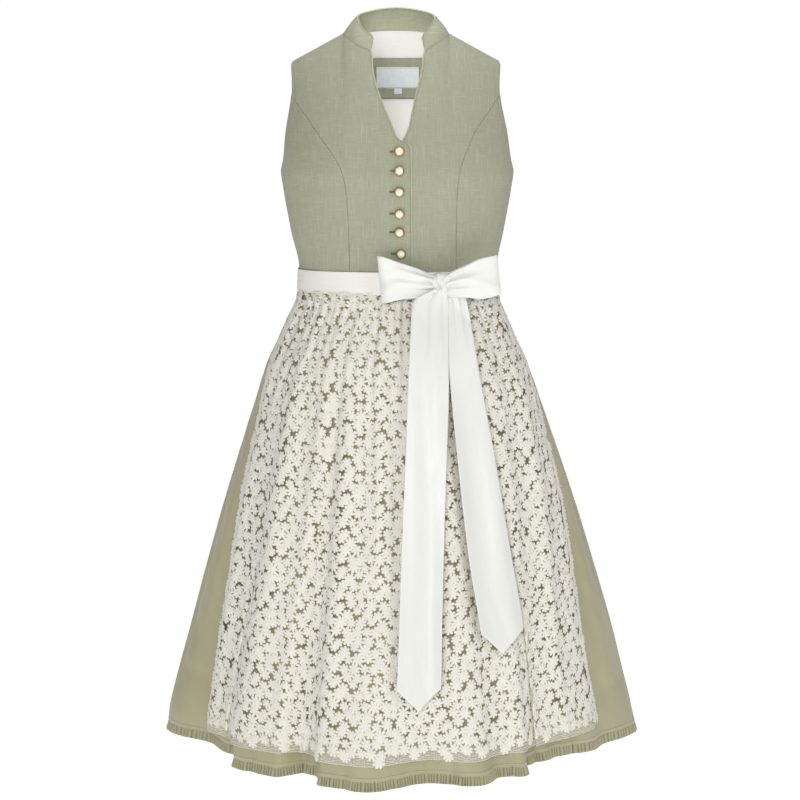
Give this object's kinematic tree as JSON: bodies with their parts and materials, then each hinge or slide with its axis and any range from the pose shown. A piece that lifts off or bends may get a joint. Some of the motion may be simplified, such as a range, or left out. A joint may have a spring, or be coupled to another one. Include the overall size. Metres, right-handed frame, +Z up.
{
  "type": "dirndl dress",
  "caption": "Sleeveless front-buttoned bodice with a stand collar, a full hollow skirt with a pleated hem, and a lace apron tied with a ribbon bow.",
  "frame": {"origin": "midway between the two shoulder seams, where the wearer's shoulders carry the dress", "axes": "+Z up the wearer's body, -Y out of the front, +X towards the wearer's left"},
  "size_m": [0.6704, 0.5762, 1.0151],
  "materials": {
    "sage_linen": "slubbed plain weave, matte",
    "olive_cotton": "fine plain weave with a slight sheen",
    "white_lining": "fine plain weave, smooth",
    "white_tape": "woven tape, bare",
    "ivory_lace": "corded flower lace on a fine net",
    "ivory_satin": "satin ribbon, soft sheen",
    "pearl_and_brass": "aged brass rim round a cream pearl dome"
  },
  "bodies": {
    "root": {"apron_band": "ivory_satin", "apron_lace": "ivory_lace", "apron_tie_back": "ivory_satin", "back_facing": "sage_linen", "back_lining": "white_lining", "bodice_back": "sage_linen", "bodice_front_left": "sage_linen", "bodice_front_right": "sage_linen", "bodice_side_left": "sage_linen", "bodice_side_right": "sage_linen", "bow_knot": "ivory_satin", "bow_loop_left": "ivory_satin", "bow_loop_right": "ivory_satin", "bow_tail_left": "ivory_satin", "bow_tail_right": "ivory_satin", "button_1": "pearl_and_brass", "button_2": "pearl_and_brass", "button_3": "pearl_and_brass", "button_4": "pearl_and_brass", "button_5": "pearl_and_brass", "button_6": "pearl_and_brass", "hem_frill_back": "olive_cotton", "hem_frill_front": "olive_cotton", "neck_label": "white_tape", "size_tab": "white_tape", "skirt_back": "olive_cotton", "skirt_front": "olive_cotton", "stand_collar": "sage_linen"}
  },
  "joints": []
}
